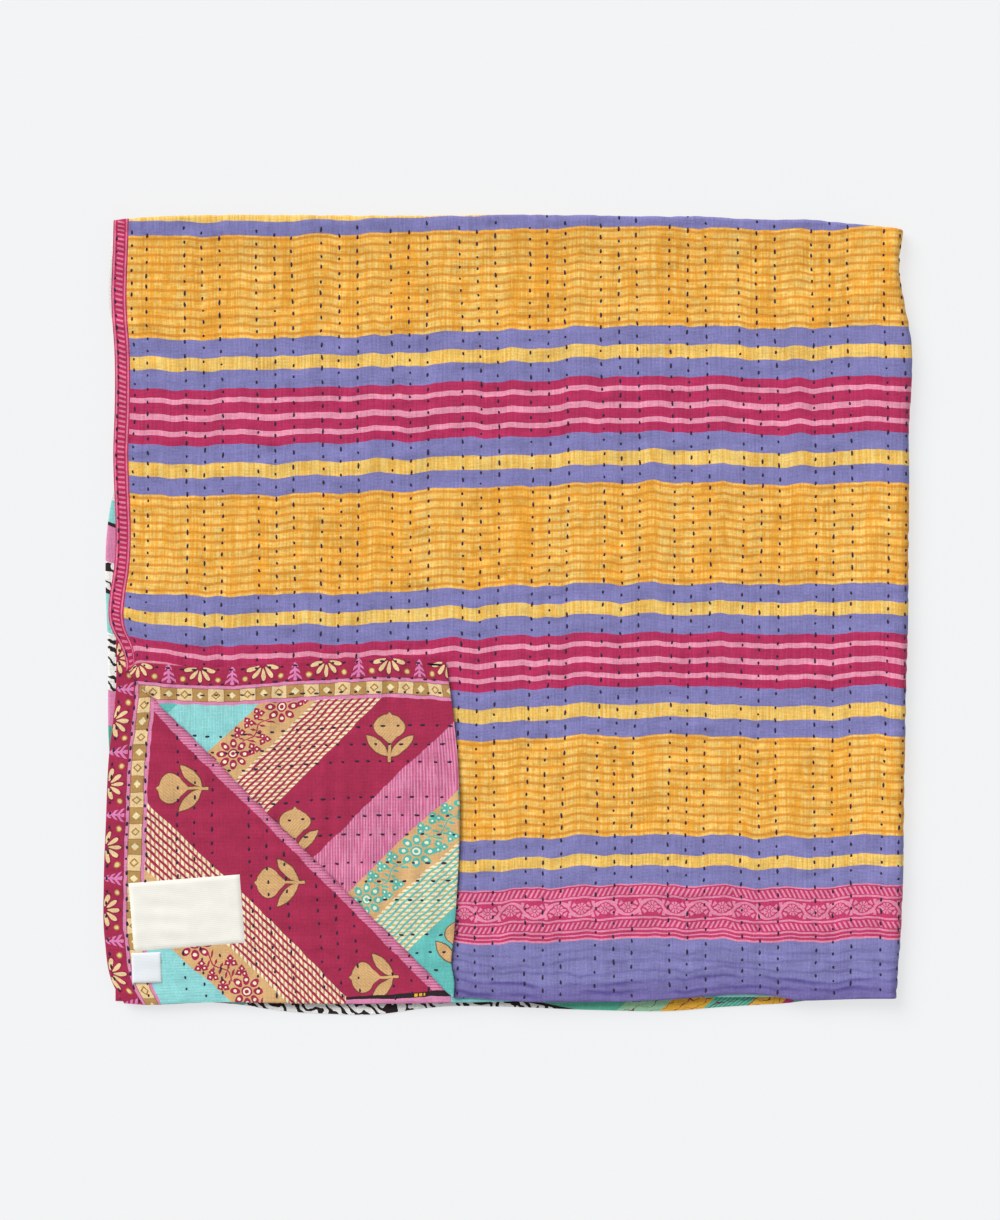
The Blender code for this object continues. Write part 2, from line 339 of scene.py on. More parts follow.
def row_middle(number, v):
    """Where a row lies across the sheet: it bows with its group, and strays by hand."""
    place = np.interp(v, SWAY_PLACES, np.arange(len(SWAY_PLACES)))
    before = np.minimum(place.astype(int), len(SWAY_PLACES) - 2)
    share = place - before
    bow = ROW_SWAYS[number, before] * (1 - share) + ROW_SWAYS[number, before + 1] * share
    stray = np.sin(v / (47 * MM) + 1.7 * number) + 0.6 * np.sin(v / (19 * MM) + 2.9 * number)
    turned = ease((CORNER - ROWS[number] - v) / (20 * MM))
    moved = wander(FLAP_ROWS, ROWS[number]) + wander(FLAP_ROWS_ALONG, v)
    moved = wander(LOWER_ROWS, v) + moved * turned
    return ROWS[number] + bow + ROW_STRAY * stray + moved * (number > len(EDGE_ROWS))


def ripples(u, v, across, along, seed):
    """Smooth uneven waves from about -1 to 1, with their usual lengths each way."""
    draw = np.random.default_rng(seed)
    total = np.zeros_like(u)
    waves = 9
    for _ in range(waves):
        stretch_u, stretch_v = draw.uniform(0.55, 1.8, 2)
        lean, phase = draw.uniform(-1, 1), draw.uniform(0, 2 * math.pi)
        turns = lean * u / (across * stretch_u) + v / (along * stretch_v)
        total += np.sin(2 * math.pi * turns + phase)
    return total / math.sqrt(waves)


def nearest_row(u, v):
    """How far a place is from the row beside it, and that row's number."""
    after = np.clip(np.searchsorted(ROWS, u), 1, len(ROWS) - 1)
    best, number = None, None
    for offset in (-1, 0):
        candidate = after + offset
        away = np.abs(u - row_middle(candidate, v))
        if best is None:
            best, number = away, candidate
        else:
            number = np.where(away < best, candidate, number)
            best = np.minimum(away, best)
    return best, number


def cloth_lift(u, v, side):
    """How far a face of the sheet stands off its middle: side is 1 in front, -1 behind."""
    away, number = nearest_row(u, v)
    stitch = v / STITCH_PITCH + STITCH_SHIFT * number + (0.5 if side < 0 else 0.0)
    tight = 0.8 + 0.2 * np.cos(2 * math.pi * stitch)
    dent = ROW_DENT * tight * np.exp(-((away / ROW_REACH) ** 2))
    near_row = 0.25 + 0.75 * np.exp(-((away / GATHER_REACH) ** 2))
    gather = GATHER * near_row * ripples(u, v, *GATHER_WAVES, RELIEF_SEEDS[side])
    puff = PUFF * ripples(u, v, *PUFF_WAVES, RELIEF_SEEDS[side] + 1)
    lift = THICKNESS / 2 - dent + gather + puff
    for crease, depth in HEM_CREASES:
        sway = CREASE_SWAY * np.sin(u / CREASE_SWAY_ALONG + crease / MM)
        sway = sway + CREASE_DRIFT * np.sin(u / CREASE_DRIFT_ALONG)
        groove = np.exp(-(((v - crease - sway) / CREASE_WIDTH) ** 2))
        lift = lift - (side > 0) * depth * groove

    plain = (v > LABEL_PLAIN_V) & (u < LABEL_PLAIN_U) & (side < 0)
    lift = np.where(plain, np.minimum(lift, THICKNESS / 2), lift)
    hidden = (u > FOLD_U) | (v > FOLD_V + SMALL_ARC) & (side > 0)
    lift = np.where(hidden, np.minimum(lift, THICKNESS / 2), lift)

    from_edge = np.minimum(np.minimum(u, WIDTH - u), np.minimum(v, LENGTH - v))
    rounded = np.sqrt(np.clip(1 - (1 - np.clip(from_edge / HEM_ROUND, 0, 1)) ** 2, 0, 1))
    return side * np.maximum(lift, LEAST_LIFT) * rounded


# Meshes


def stretch(start, end, step):
    """Even places from start up to, but not with, end."""
    return np.linspace(start, end, max(2, round((end - start) / step)) + 1)[:-1]


# Grid steps, and what of the back shows: the turned corner, and the lower rim
HEM_LINES = np.array([0, 0.25, 0.9, 2.2, 3.6]) * MM
LAST_STEP_ENDS = 5 * MM
HIDDEN_STEP = 12.5 * MM
FRONT_STEP_ACROSS = 3.1 * MM
FRONT_STEP_ALONG = 3.9 * MM
BACK_STEP = 3.2 * MM
WIDE_FOLD_PARTS = 8
SMALL_FOLD_PARTS = 6
BACK_SEEN_TO = 345 * MM
BACK_SEEN_FROM = 1140 * MM
CREASE_CUT_REACH = 12 * MM


def sheet_lines(length, fold, arc, arc_parts, seen, seen_to, seen_from=None):
    """Grid lines along one side of the sheet: close where it shows and round its fold."""
    end = length - LAST_STEP_ENDS
    parts = [HEM_LINES, stretch(HEM_LINES[-1] + seen, min(seen_to, fold), seen)]
    if seen_to < fold:
        parts.append(stretch(seen_to, fold, HIDDEN_STEP))
    parts.append(stretch(fold, fold + arc, arc / arc_parts))
    parts.append(stretch(fold + arc, seen_from or end, HIDDEN_STEP))
    if seen_from:
        parts.append(stretch(seen_from, end, seen))
    parts.append(length - HEM_LINES[::-1])
    return np.concatenate(parts)


def flat_grid(across, along):
    """A flat grid whose lines lie at the given places."""
    bm = bmesh.new()
    bmesh.ops.create_grid(bm, x_segments=len(across) - 1, y_segments=len(along) - 1, size=0.5)
    count_u, count_v = len(across) - 1, len(along) - 1
    for vert in bm.verts:
        vert.co.x = across[round((vert.co.x + 0.5) * count_u)]
        vert.co.y = along[round((vert.co.y + 0.5) * count_v)]
    return bm


def cut_along_crease(bm):
    """Cut the grid closely round the turned corner's crease, from just before it."""
    step = math.sqrt(2) * SMALL_ARC / SMALL_FOLD_PARTS
    for count in range(-1, 8):
        middle = (CORNER - count * step) / 2
        faces = [f for f in bm.faces
                 if abs(sum(f.calc_center_median()[:2]) - 2 * middle) < CREASE_CUT_REACH]
        edges = {e for f in faces for e in f.edges}
        verts = {v for f in faces for v in f.verts}
        bmesh.ops.bisect_plane(bm, geom=[*verts, *edges, *faces], dist=0.02 * MM,
                               plane_co=(middle, middle, 0), plane_no=(1, 1, 0))


def keep_flat_places(mesh, u, v):
    """Write each corner's place on the flat cloth as the mesh's UV map, in metres."""
    if not mesh.uv_layers:
        mesh.uv_layers.new(name="flat_cloth")
    layer = mesh.uv_layers["flat_cloth"]
    corners = np.empty(len(mesh.loops), dtype=np.int32)
    mesh.loops.foreach_get("vertex_index", corners)
    layer.data.foreach_set("uv", np.column_stack((u[corners], v[corners])).ravel())


# How far the woven stripes stray along the sheet, in mm: at places up it, and at its top
STRIPE_DRIFT = (
    (0, 0.2), (100, 0.2), (160, -0.4), (250, 0.2), (290, 0.6), (335, 1.8), (400, 2.0), (480, 1.6),
    (530, 1.4), (560, 0.6), (620, 0.0), (640, -0.6), (725, -2.0), (737, -1.2),
    (750, 2.4), (1500, 2.4),
)
TOP_DRIFT = (
    (17, 0), (57, -2.4), (88, -2.4), (118, -1.4), (184, -0.8), (249, -1.6), (300, -0.3), (348, 1),
    (414, 1.4), (447, 0.5), (481, 2.2), (514, 2.2), (547, 4.4), (580, 3.8), (650, 3.3), (748, 3.3),
)
TOP_DRIFT_FROM = 650 * MM
TOP_DRIFT_GROWS = 70 * MM
KINK = 0.9 * MM
BORDER_FADE = 150 * MM


def stripe_drift(u, v):
    """How far the woven stripes lie off the sheet's length, with a kink at each row."""
    draw = np.random.default_rng(41)
    level = np.tile((0.1, 1.1, 0.1), len(GROUPS))
    first = 1 + len(EDGE_ROWS)
    seen = ROWS[first:first + 3 * len(GROUPS)]
    between = (seen[2:-1:3] + seen[3::3]) / 2
    places = np.concatenate((seen, between))
    order = np.argsort(places)
    kinks = [np.concatenate((level, np.full(len(between), -1.1)))]
    kinks += [draw.uniform(-0.5, 0.5, len(places)) for _ in range(2)]
    straight, cosine, sine = (np.interp(u, places[order], kink[order]) for kink in kinks)
    turning = v / (90 * MM)
    kink = straight + cosine * np.cos(turning) + sine * np.sin(turning)
    by_top = ease((v - TOP_DRIFT_FROM) / TOP_DRIFT_GROWS) * wander(TOP_DRIFT, u)
    return wander(STRIPE_DRIFT, v) + by_top + KINK * kink


def print_place(u, v):
    """Where the print is across the sheet: its border keeps its width along the edge."""
    moved, _ = wander_edges(u, v)
    back = ease(1 - moved / BORDER_FADE) * wander(LEFT_EDGE, v)
    return np.where(u < FOLD_U, moved - back, u)


def put_in_scene(name, data):
    """Make an object of a mesh, a light or a camera, at the origin."""
    obj = bpy.data.objects.new(name, data)
    bpy.context.collection.objects.link(obj)
    return obj


def to_object(bm, name, mat, u, v, lift):
    """Fold a flat mesh, keep its flat places, and make it one smooth object."""
    places = np.column_stack(folded(u, v, lift))
    mesh = bpy.data.meshes.new(name)
    bm.to_mesh(mesh)
    bm.free()
    mesh.vertices.foreach_set("co", places.ravel())
    keep_flat_places(mesh, u, v)
    mesh.shade_smooth()
    mesh.materials.append(mat)
    mesh.update()
    obj = put_in_scene(name, mesh)
    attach(obj, "root")
    return obj


def flat_places(bm):
    """Where a mesh's points are before it is folded."""
    return np.array([vert.co[:] for vert in bm.verts]).T


def make_cloth(name, side, mat, across, along):
    """One of the two cloths of the sheet, from its flat grid."""
    bm = flat_grid(across, along)
    cut_along_crease(bm)
    if side < 0:
        bmesh.ops.reverse_faces(bm, faces=bm.faces[:])
    u, v, _ = flat_places(bm)
    on_rim = np.minimum(np.minimum(u, WIDTH - u), np.minimum(v, LENGTH - v)) < 0.01 * MM
    u, v = follow_folds(u, v)
    lift = np.where(on_rim, 0.0, cloth_lift(u, v, side))
    cloth = to_object(bm, name, mat, u, v, lift)
    drift = stripe_drift(u, v) if side > 0 else 0.0
    keep_flat_places(cloth.data, print_place(u, v), v + drift)
    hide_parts("quilt")


# Hand stitches, in mm: how far they stray along and across, and how high their thread is
STITCH_STRAYS = (1.3, 0.35)
STITCH_SIZES = (0.55, 1.15)
STITCH_LEAN = 0.14
STITCH_ARCH = 0.55
STITCH_ROUND = 0.35
STITCH_SUNK = 0.25


def stitch_places(rows, start, end, shift, seed):
    """Middle, length share and lean of each stitch along the given rows."""
    draw = np.random.default_rng(seed)
    stray_along, stray_across = STITCH_STRAYS
    found = []
    for row in rows:
        number = int(np.searchsorted(ROWS, row))
        first = STITCH_PITCH * (1 - (STITCH_SHIFT * number + shift) % 1.0)
        v = np.arange(first, end, STITCH_PITCH)
        v = v + draw.uniform(-stray_along, stray_along, len(v)) * MM
        u = row_middle(number, v) + draw.uniform(-stray_across, stray_across, len(v)) * MM
        size = draw.uniform(*STITCH_SIZES, len(v))
        lean = draw.uniform(-STITCH_LEAN, STITCH_LEAN, len(v))
        keep = v > start
        found.append(np.column_stack((u, v, size, lean))[keep])
    return np.concatenate(found)


def make_stitches(name, side, places, mat):
    """Running stitches as one joined mesh: each lies in its row's dent and arches a little."""
    bm = bmesh.new()
    bmesh.ops.create_uvsphere(bm, u_segments=6, v_segments=4, radius=1.0)
    across, up, along = flat_places(bm)[:, None, :]
    stitch = bpy.data.meshes.new("one_stitch")
    bm.to_mesh(stitch)
    for _ in range(len(places) - 1):
        bm.from_mesh(stitch)
    bpy.data.meshes.remove(stitch)
    u0, v0, size, lean = (column[:, None] for column in places.T)
    u = u0 - across * STITCH_WIDTH / 2 + lean * along * STITCH_LENGTH / 2
    v = v0 + along * STITCH_LENGTH / 2 * size
    cloth = cloth_lift(places[:, 0], places[:, 1], side)[:, None]
    arch = (1 - along ** 2) * STITCH_ARCH * MM
    lift = cloth + up * STITCH_ROUND * MM + side * (arch - STITCH_SUNK * MM)
    stitches = to_object(bm, name, mat, u.ravel(), v.ravel(), lift.ravel())


# Materials

THREAD_PITCH = 1.3
WEAVE_DEPTH = 0.12 * MM
TAPE_RIB_DEPTH = 0.08 * MM


def linear(colour):
    """Turn an sRGB hex colour to the linear values that shaders use."""
    values = [int(colour[place:place + 2], 16) / 255 for place in (1, 3, 5)]
    values = [c / 12.92 if c <= 0.04045 else ((c + 0.055) / 1.055) ** 2.4 for c in values]
    return (*values, 1.0)


def adder(tree):
    """Give back the one function that adds a node to a material."""

    def add(kind, *inputs, out=0, **settings):
        """Add a node. Its kind may end in an operation, and an operation alone is a maths
        node's. Plain names are settings, capitalised ones inputs, and a hex is a colour."""
        if kind.isupper():
            kind = "Math " + kind
        kind, _, operation = kind.partition(" ")
        node = tree.nodes.new("ShaderNode" + kind)
        if operation:
            node.operation = operation
        for key, value in settings.items():
            if key[0].islower():
                setattr(node, key, value)
        pairs = list(zip(node.inputs, inputs))
        pairs += [(node.inputs[key], value) for key, value in settings.items() if key[0].isupper()]
        for socket, value in pairs:
            if isinstance(value, bpy.types.NodeSocket):
                tree.links.new(value, socket)
            elif value is not None:
                socket.default_value = linear(value) if isinstance(value, str) else value
        return node.outputs[out]

    return add


def start_material(name, roughness, sheen=0.0):
    """A matt material to begin with, its shader, and the function that adds its nodes."""
    mat = bpy.data.materials.new(name)
    mat.use_nodes = True
    shader = mat.node_tree.nodes["Principled BSDF"]
    shader.inputs["Roughness"].default_value = roughness
    shader.inputs["Specular IOR Level"].default_value = 0.25
    shader.inputs["Sheen Weight"].default_value = sheen
    shader.inputs["Sheen Roughness"].default_value = 0.5
    shader.inputs["Sheen Tint"].default_value = linear("#FFFFFF")
    return mat, shader, adder(mat.node_tree)


def flat_mm(add):
    """The place on the flat cloth, in mm."""
    place = add("UVMap", uv_map="flat_cloth")
    across = add("SeparateXYZ", place, out="X")
    along = add("SeparateXYZ", place, out="Y")
    return add("MULTIPLY", across, 1 / MM), add("MULTIPLY", along, 1 / MM)


def grain(add, u, v, wide, tall, detail=2.0):
    """Smooth noise from 0 to 1 whose blotches are about wide by tall, in mm."""
    across = add("DIVIDE", u, wide)
    along = add("DIVIDE", v, tall)
    place = add("CombineXYZ", across, along, 0.0)
    return add("TexNoise", Vector=place, Scale=1.0, Detail=detail, noise_dimensions="2D")


def bands(add, place, table):
    """Paint bands of (width, colour) one after another along a place, in mm."""
    total = sum(width for width, _ in table)
    share = add("DIVIDE", place, total)
    share_ramp = add("ValToRGB", share)
    ramp = share_ramp.node.color_ramp
    ramp.interpolation = "CONSTANT"
    start = 0.0
    for count, (width, colour) in enumerate(table):
        if count < 2:
            stop = ramp.elements[count]
            stop.position = start / total
        else:
            stop = ramp.elements.new(start / total)
        stop.color = linear(colour)
        start += width
    return share_ramp


def thread_streaks(add, colour, u, v, strength):
    """Darken and lighten a colour along its threads, both ways."""
    warp = grain(add, u, v, 1.4, 13.0, 2.0)
    weft = grain(add, u, v, 16.0, 1.4, 2.0)
    fleck = grain(add, u, v, 1.7, 1.7, 2.0)
    cloud = grain(add, u, v, 26.0, 26.0, 4.0)
    streaks = add("ADD", add("ADD", add("ADD", warp, weft), fleck), cloud)
    factor = add("MapRange", streaks, 1.4, 2.6, 1.0 - strength, 1.0 + strength)
    return add("VectorMath SCALE", colour, None, None, factor)


def weave_bump(add, u, v):
    """Plain weave whose threads are drawn 1.3 mm apart: the real 0.5 mm wouldn't show."""
    warp = add("SINE", add("MULTIPLY", u, 2 * math.pi / THREAD_PITCH))
    weft = add("SINE", add("MULTIPLY", v, 2 * math.pi / THREAD_PITCH))
    threads = add("ADD", warp, weft)
    slub = grain(add, u, v, 2.5, 2.5, 3.0)
    height = add("MULTIPLY_ADD", slub, 4.0, threads)
    return add("Bump", Strength=0.5, Distance=WEAVE_DEPTH, Height=height)


def both(add, *masks):
    """1 where all the masks are 1."""
    result = masks[0]
    for mask in masks[1:]:
        result = add("MULTIPLY", result, mask)
    return result


def either(add, *masks):
    """1 where any of the masks is 1."""
    result = masks[0]
    for mask in masks[1:]:
        result = add("MAXIMUM", result, mask)
    return result


def band(add, place, start, end):
    """1 where a place lies between start and end."""
    return add("COMPARE", place, (start + end) / 2, (end - start) / 2)


def repeat(add, place, pitch, start=0.0):
    """The place within a repeat that begins at start, from 0 to the pitch."""
    return add("WRAP", add("SUBTRACT", place, start), pitch, 0.0)


def centred(add, place, pitch, middle=0.0):
    """The place measured from the nearest repeat's middle."""
    return add("WRAP", add("SUBTRACT", place, middle), pitch / 2, -pitch / 2)


def apart(add, place, line):
    """How far a place lies from a line, to either side."""
    return add("ABSOLUTE", add("SUBTRACT", place, line))


def distance(add, a, b):
    """How far a place lies from a motif's middle."""
    return add("VectorMath LENGTH", add("CombineXYZ", a, b, 0.0), out="Value")


def polar(add, a, b):
    """How far and which way a place lies from a motif's middle."""
    return distance(add, a, b), add("ARCTAN2", b, a)


def petals(add, r, angle, count, out, first=0.0):
    """A place seen from the nearest of a flower's petals: how far out of it, and aside."""
    turned = centred(add, angle, 2 * math.pi / count, first)
    out_from = add("SUBTRACT", add("MULTIPLY", r, add("COSINE", turned)), out)
    return out_from, add("MULTIPLY", r, add("SINE", turned))


# The striped front: widths and places in mm

IKAT_BLOCK = 95.0
IKAT_ROW = 8.0
STRIPE_REPEAT = 242.0
STRIPE_START = 154.4
STRIPES = (
    (IKAT_BLOCK, IKAT), (17.1, PURPLE), (13.3, YELLOW), (17.1, PURPLE),
    (8.0, MAGENTA), (5.2, PINK), (9.6, MAGENTA), (5.2, PINK), (10.2, MAGENTA), (5.2, PINK),
    (8.8, MAGENTA), (17.1, PURPLE), (12.9, YELLOW), (17.3, PURPLE),
)
BORDER_START = 55.6
BORDER_END = 107.8
BORDER_LINES = (
    (1.9, BORDER_PINK), (2.6, BORDER_RED), (1.4, BORDER_PINK), (2.0, BORDER_RED),
    (1.8, BORDER_PINK), (9.4, BORDER_RED), (1.8, BORDER_PINK), (18.6, BORDER_RED),
    (1.8, BORDER_PINK), (9.4, BORDER_RED), (1.5, BORDER_PINK),
)
BEFORE_REPEAT = (
    (BORDER_START, PURPLE), *BORDER_LINES, (17.1, PURPLE), (11.4, YELLOW), (18.1, PURPLE),
)
BORDER_MIRROR = 590.0
SCROLL_TURN = 22.3
STRIP_RED = "#B82656"
STRIP_PINK = "#DD7B9A"
SIDE_STRIP = (
    (1.0, STRIP_RED), (1.4, STRIP_PINK), (9.5, STRIP_RED), (1.4, STRIP_PINK), (1.3, STRIP_RED),
)
SIDE_STRIP_WIDTH = 14.6
# The hem's colours: painted shade in dark lines along its creases and pulls, and a darker tone on each
# crease's hem side
HEM_SHADE = "#50468A"
HEMWARD_TONE = "#6A5C9C"
HEM_PULL_SHADES = ((27.0, 0.7), (36.0, 0.55), (45.0, 0.45))
IKAT_PALE = "#F7D276"
IKAT_LINE = "#E0902A"
PALE_THREADS = {
    PURPLE: "#8481B9", YELLOW: "#F3D077", MAGENTA: "#B93260", PINK: "#EC9DB6",
}

# Painted stitches of the underside: rows in groups, and stitches in a row
UNDER_ROW_PITCH = 17.0
UNDER_GROUP_PITCH = 68.5
UNDER_GROUP_AT = 800.0
UNDER_STITCH_PITCH = 12.0
UNDER_STITCH_LENGTH = 4.4


def threaded(table):
    """The same bands in the colour of each one's paler warp threads."""
    return [(width, PALE_THREADS.get(colour, colour)) for width, colour in table]


def dashes(add, along, across, pitch, thick, slope):
    """Slanted dashes that repeat along a line."""
    slanted = add("MULTIPLY_ADD", across, slope, along)
    return band(add, repeat(add, slanted, pitch), 0.0, thick)


def scroll_and_rosettes(add, u, d):
    """A traditional running scroll: its stem goes over and under the rosettes in turn."""
    a = centred(add, u, SCROLL_TURN)
    shifted_u = add("ADD", u, SCROLL_TURN / 2)
    wave = add("SINE", add("MULTIPLY", shifted_u, math.pi / SCROLL_TURN))
    flat = add("MULTIPLY", add("SIGN", wave), add("POWER", add("ABSOLUTE", wave), 0.6))
    stem_away = add("ABSOLUTE", add("MULTIPLY_ADD", flat, -7.0, d))
    crossing = add("SUBTRACT", 1.0, add("ABSOLUTE", wave))
    thick = add("MULTIPLY_ADD", crossing, 2.2, 0.95)
    stem = add("LESS_THAN", stem_away, thick)
    r, angle = polar(add, a, d)
    lobes = add("COSINE", add("MULTIPLY", angle, 9.0))
    petal = both(add, add("GREATER_THAN", lobes, -0.55), band(add, r, 1.9, 5.3))
    heart = add("LESS_THAN", r, 1.2)
    between = centred(add, u, SCROLL_TURN, SCROLL_TURN / 2)
    leaf_r, leaf_angle = polar(add, between, add("ABSOLUTE", d))
    fan = add("COSINE", add("MULTIPLY", leaf_angle, 8.0))
    leaf = both(add, add("GREATER_THAN", fan, -0.2), band(add, leaf_r, 3.2, 7.6))
    return either(add, stem, petal, heart, leaf)


def shade_hem_creases(add, colour, u, v):
    """Soft dark lines of painted shade along the hem's creases and pulls; the colour is also darker on
    each crease's hem side.
    """
    patchy = grain(add, u, v, 45.0, 9.0, 3.0)
    for crease, _ in HEM_CREASES:
        sway = add("SINE", add("MULTIPLY_ADD", u, MM / CREASE_SWAY_ALONG, crease / MM))
        drift = add("SINE", add("DIVIDE", u, CREASE_DRIFT_ALONG / MM))
        middle = add("MULTIPLY_ADD", drift, CREASE_DRIFT / MM, crease / MM)
        middle = add("MULTIPLY_ADD", sway, CREASE_SWAY / MM, middle)
        below = add("SUBTRACT", middle, v)
        # Painted shade along the crease's groove, shown in patches
        dark = add("MapRange", add("ABSOLUTE", below), 0.6, 3.2, 1.0, 0.0)
        shown = add("MapRange", patchy, 0.36, 0.60, 0.15, 0.9)
        colour = add("MixRGB", both(add, dark, shown), colour, HEM_SHADE)
        # A darker tone on the hem's side of the crease
        hemward = add("MapRange", below, -0.6, 0.6, 0.0, 0.42)
        colour = add("MixRGB", hemward, colour, HEMWARD_TONE)
    # Painted shade along pulls in the cloth, which have no relief of their own
    for place, strength in HEM_PULL_SHADES:
        stray = add("MULTIPLY_ADD", grain(add, u, place, 70.0, 1.0), 16.0, place - 8.0)
        from_pull = apart(add, v, stray)
        pull = add("MapRange", from_pull, 0.4, 2.2, strength, 0.0)
        colour = add("MixRGB", both(add, pull, patchy), colour, HEM_SHADE)
    return colour


def striped_cotton():
    """Yarn-dyed handloom cotton: soft, matt, with uneven threads and a faint sheen of fluff."""
    mat, shader, add = start_material("striped_handloom_cotton", 0.85, 0.12)
    u, v = flat_mm(add)
    pull = grain(add, u, v, 24.0, 160.0, 1.0)
    v = add("ADD", v, add("MapRange", pull, 0.25, 0.75, -1.3, 1.3))

    in_repeat = repeat(add, v, STRIPE_REPEAT, STRIPE_START)
    block = add("FLOOR", add("DIVIDE", add("SUBTRACT", v, STRIPE_START), STRIPE_REPEAT))
    first = add("LESS_THAN", v, STRIPE_START)
    colour = add("MixRGB", first, bands(add, in_repeat, STRIPES), bands(add, v, BEFORE_REPEAT))
    pale_threads = add("MixRGB", first, bands(add, in_repeat, threaded(STRIPES)),
                       bands(add, v, threaded(BEFORE_REPEAT)))
    warp = add("MapRange", grain(add, u, v, 2.1, 70.0, 3.0), 0.38, 0.62, 0.0, 1.0)
    colour = add("MixRGB", warp, colour, pale_threads)

    # Ikat: tie-dyed rows of pale cells, ruled across by orange lines
    later = add("SUBTRACT", 1.0, first)
    in_block = both(add, later, add("LESS_THAN", in_repeat, IKAT_BLOCK))
    row = add("FLOOR", add("DIVIDE", in_repeat, IKAT_ROW))
    row = add("MULTIPLY_ADD", block, 12.0, row)
    column = grain(add, u, add("MULTIPLY", block, 7.3), 20.0, 1.0, 3.0)
    cell = grain(add, u, add("MULTIPLY", row, 3.7), 8.0, 1.0, 2.0)
    thread = grain(add, u, v, 2.0, 60.0, 3.0)
    tied = add("ADD", add("MULTIPLY", column, 0.45), add("MULTIPLY", cell, 0.5))
    tied = add("MULTIPLY_ADD", thread, 0.75, tied)
    pale = add("MapRange", tied, 0.72, 1.04, 0.0, 1.0)
    colour = add("MixRGB", both(add, in_block, pale), colour, IKAT_PALE)
    line_place = repeat(add, in_repeat, IKAT_ROW)
    from_line = apart(add, line_place, IKAT_ROW / 2)
    line = add("MapRange", from_line, 0.7, 2.0, 0.9, 0.0)
    colour = add("MixRGB", both(add, in_block, line), colour, IKAT_LINE)

    # Printed border near the hem
    in_border = band(add, v, BORDER_START, BORDER_END)
    d = add("SUBTRACT", BORDER_END, v)
    mirrored_u = add("MULTIPLY", apart(add, u, BORDER_MIRROR), -1.0)
    dash = dashes(add, mirrored_u, d, 4.6, 2.1, 0.55)
    low = both(add, in_border, band(add, d, 34.6, 40.8), dash)
    high = both(add, in_border, band(add, d, 2.3, 9.9), dash)
    scroll = both(add, in_border, band(add, d, 13.6, 30.2),
                  scroll_and_rosettes(add, u, add("SUBTRACT", d, 21.9)))
    drawn = either(add, low, high, scroll)
    colour = add("MixRGB", drawn, colour, BORDER_PINK)

    # Painted shade along the hem's creases and pulls, and a darker tone on each crease's hem side
    colour = shade_hem_creases(add, colour, u, v)

    # Printed strip along the side hems
    from_side = add("MINIMUM", u, add("SUBTRACT", WIDTH / MM, u))
    on_strip = add("LESS_THAN", from_side, SIDE_STRIP_WIDTH)
    strip = bands(add, from_side, SIDE_STRIP)
    strip_dash = both(add, band(add, from_side, 4.1, 10.5),
                      dashes(add, v, from_side, 4.75, 2.0, 0.25))
    strip = add("MixRGB", strip_dash, strip, STRIP_PINK)
    colour = add("MixRGB", on_strip, colour, strip)

    # Stitches of the underside, where raised thread would lift the pile off its base
    from_middle = add("ABSOLUTE", centred(add, u, UNDER_GROUP_PITCH, UNDER_GROUP_AT))
    from_row = apart(add, from_middle, UNDER_ROW_PITCH / 2)
    from_row = apart(add, from_row, UNDER_ROW_PITCH / 2)
    stitch = dashes(add, v, add("FLOOR", add("DIVIDE", u, 9.0)), UNDER_STITCH_PITCH,
                    UNDER_STITCH_LENGTH, 3.7)
    under = add("GREATER_THAN", u, (FOLD_U + WIDE_ARC) / MM)
    stitched = both(add, under, stitch, add("LESS_THAN", from_row, 0.9))
    colour = add("MixRGB", stitched, colour, THREAD)

    finish_cloth(mat, shader, add, colour, u, v, 0.22)
    return mat


def finish_cloth(mat, shader, add, colour, u, v, unevenness):
    """Give a cloth's colour its thread streaks and its weave."""
    patchy = thread_streaks(add, colour, u, v, unevenness)
    tree = mat.node_tree
    tree.links.new(patchy, shader.inputs["Base Color"])
    tree.links.new(weave_bump(add, u, v), shader.inputs["Normal"])


# The printed back: widths and places in mm, and where the printer's block was laid anew

PRINT_REPEAT = 382.0
PRINT_START = -157.0
PRINT_BANDS = (
    (53.5, TURQUOISE), (37.7, BEIGE), (46.3, PRINT_RED), (60.5, PRINT_RED),
    (46.3, RIB_PINK), (35.0, BEIGE), (45.0, TEAL), (57.7, TEAL),
)
PRINT_FOLD = 740.0
SHIFT_PAST_FOLD = 111.5
FLOWER_PITCH = 65.0
RED_FLOWERS_FROM = (14.75, 35.1)
TEAL_FLOWERS_FROM = 25.1
BUD_PITCH = 127.0
RED_BUDS_FROM = (95.5, 72.5)
TEAL_BUDS_FROM = 60.8
ROPE_COUNT = 9


def band_places():
    """Where each printed band starts in its repeat, and its width."""
    places, start = [], 0.0
    for width, _ in PRINT_BANDS:
        places.append((start, width))
        start += width
    return places


(TURQUOISE_BAND, RED_FLOWERS, RED_ROPES, RED_BUDS,
 RIB_BAND, TEAL_FLOWERS, TEAL_ROPES, TEAL_BUDS) = band_places()


def ropes(add, t, q, start, width):
    """Twisted ropes side by side: masks of the ropes, and of the dashes that twist them."""
    pitch = width / ROPE_COUNT
    inside = band(add, t, start, start + width)
    across = centred(add, t, pitch, start + pitch / 2)
    rope = add("COMPARE", across, 0.0, 1.5)
    twist = dashes(add, q, across, 5.5, 3.3, 1.0)
    return both(add, inside, rope), both(add, inside, rope, twist)


